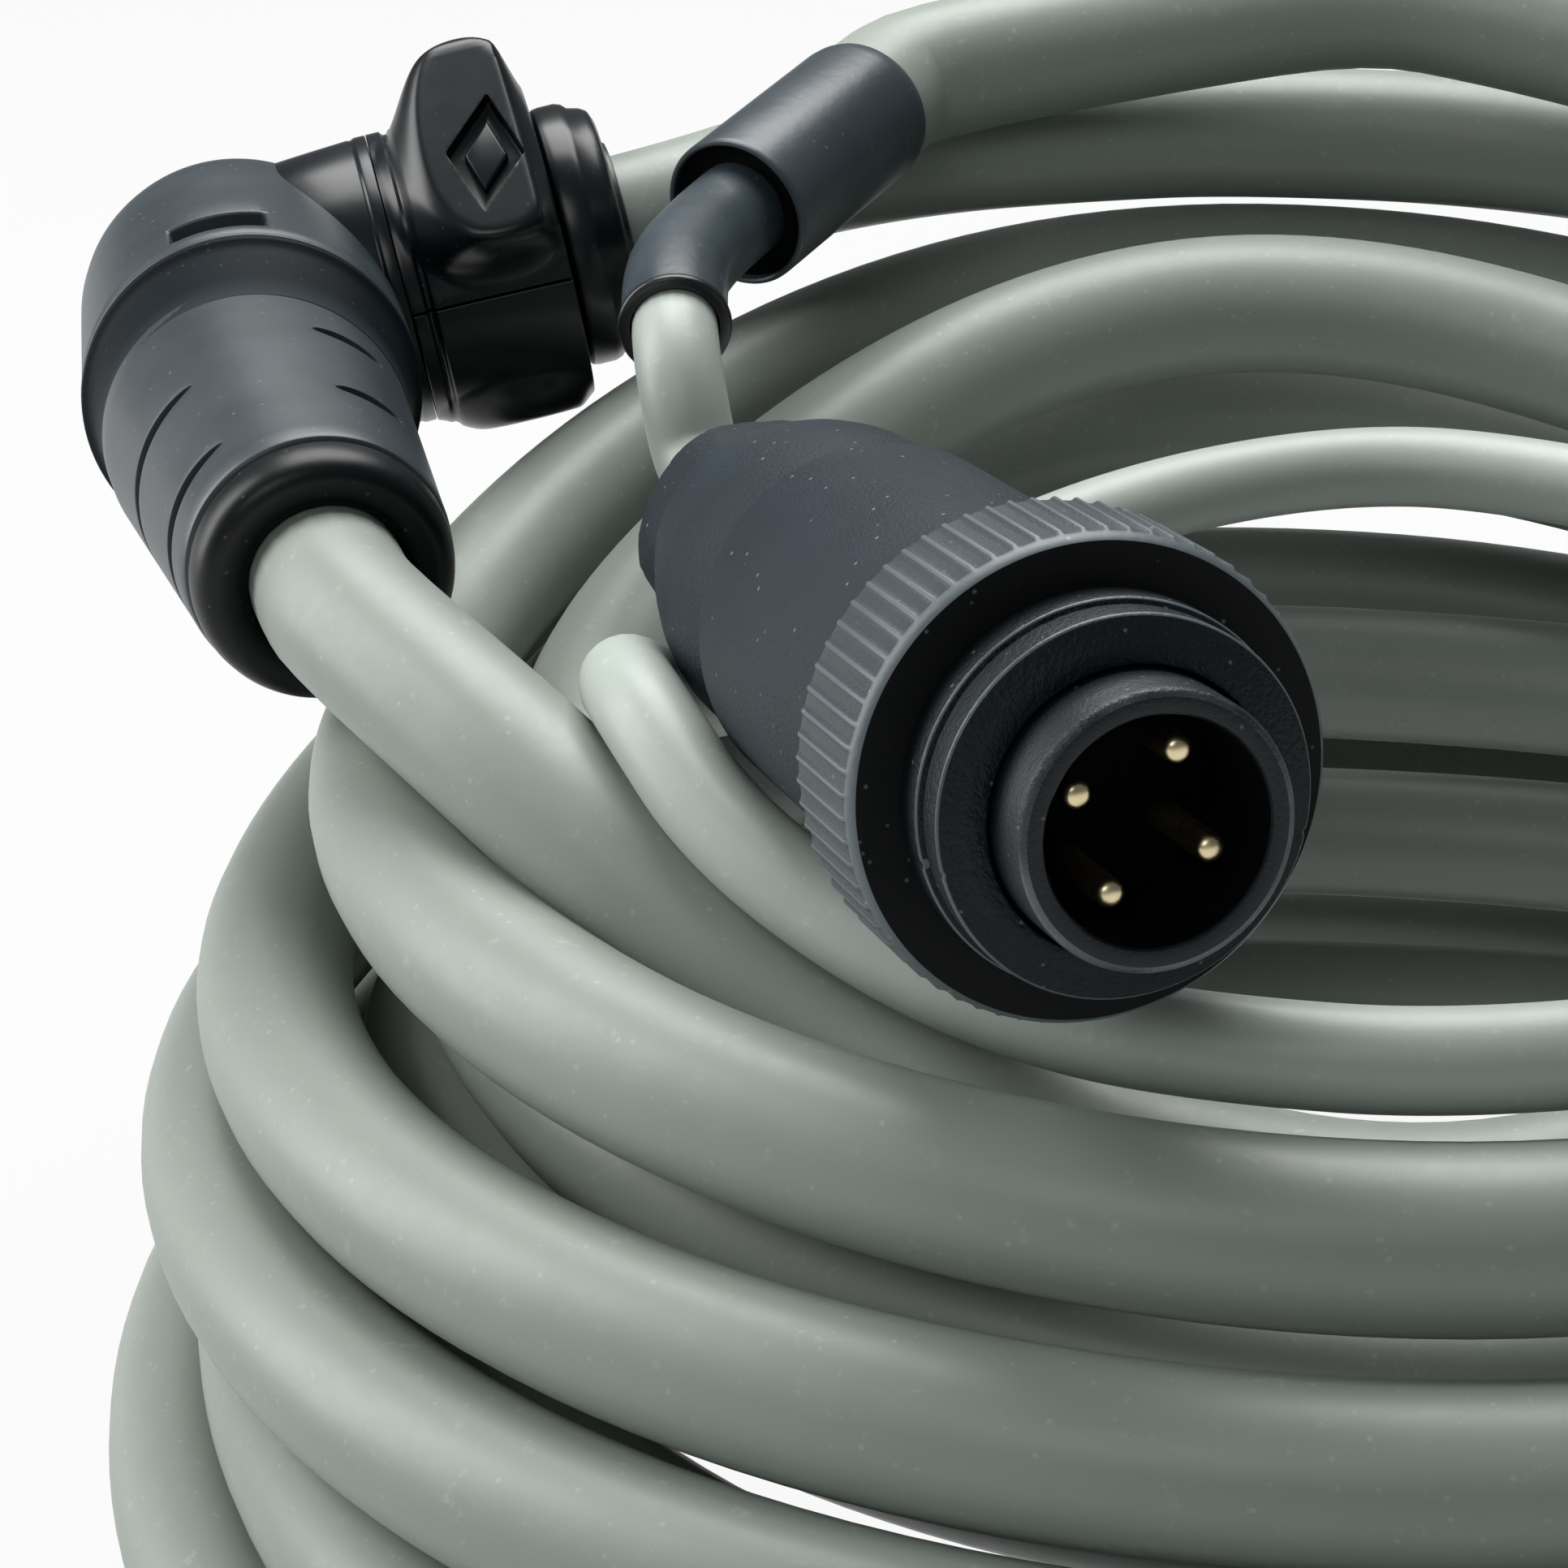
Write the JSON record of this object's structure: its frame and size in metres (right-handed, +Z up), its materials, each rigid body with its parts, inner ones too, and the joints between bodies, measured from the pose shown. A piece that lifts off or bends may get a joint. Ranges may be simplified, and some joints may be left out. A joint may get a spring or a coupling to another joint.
{
  "type": "shore power cord",
  "caption": "Coiled grey power cord with a right-angle plug locked to its own socket, a reducing sleeve and a round four-pin plug on a thin tail.",
  "frame": {"origin": "bottom centre of the box round the whole coiled cord, on the floor it lies on", "axes": "+Z up, -Y the side that the round plug's pins look towards, +X to the right as seen from that side"},
  "size_m": [0.2032, 0.1927, 0.1021],
  "materials": {
    "thick_cable": "satin grey PVC sheath",
    "thin_cable": "satin light grey PVC sheath",
    "plug_shell": "fine grained slate moulding",
    "plug_front": "near black moulding, worn rim",
    "contact": "gold plated, satin",
    "elbow_shell": "smooth slate moulding",
    "elbow_gloss": "polished black moulding",
    "soft_black": "soft black moulding",
    "core_blue": "satin insulation",
    "core_brown": "satin insulation",
    "core_green": "satin insulation",
    "ferrule": "tinned copper"
  },
  "bodies": {
    "cord": {"main_coil": "thick_cable", "elbow_lead": "thick_cable", "junction_lead": "thick_cable", "socket_lead": "thick_cable", "thin_lead": "thin_cable", "pigtail": "thin_cable", "junction_sleeve": "soft_black", "junction_core": "soft_black", "splice_sleeve": "soft_black", "splice_core": "soft_black", "tail_sleeve": "soft_black", "elbow_housing": "elbow_shell", "elbow_neck": "elbow_gloss", "elbow_band": "elbow_shell", "elbow_boot": "elbow_shell", "elbow_grommet": "soft_black", "face_seal": "soft_black", "socket_shell": "elbow_gloss", "socket_grommet": "soft_black", "plug_body": "plug_shell", "plug_nut": "plug_shell", "plug_collar": "plug_front", "plug_shroud": "plug_front", "plug_clip": "plug_front", "plug_insulator": "plug_front", "plug_seal": "soft_black", "plug_pin_1": "contact", "plug_pin_2": "contact", "plug_pin_3": "contact", "plug_pin_4": "contact", "core_wire_1": "core_brown", "core_wire_2": "core_blue", "core_wire_3": "core_green", "core_ferrule_1": "ferrule", "core_ferrule_2": "ferrule", "core_ferrule_3": "ferrule"},
    "coupling_ring": {"plug_coupling_ring": "plug_shell"},
    "locking_collar": {"elbow_lock_upper": "elbow_gloss", "elbow_lock_lower": "elbow_gloss"}
  },
  "joints": [
    {"name": "coupling_ring_turn", "type": "hinge", "parent": "cord", "child": "coupling_ring", "pos_m": [-0.02594, -0.05689, 0.07872], "axis": [0.2934, -0.9512, 0.0961], "continuous": true},
    {"name": "locking_collar_turn", "type": "hinge", "parent": "cord", "child": "locking_collar", "pos_m": [-0.06884, 0.06465, 0.07641], "axis": [0.9663, 0.1552, 0.2053], "range_deg": [0, 60]}
  ]
}
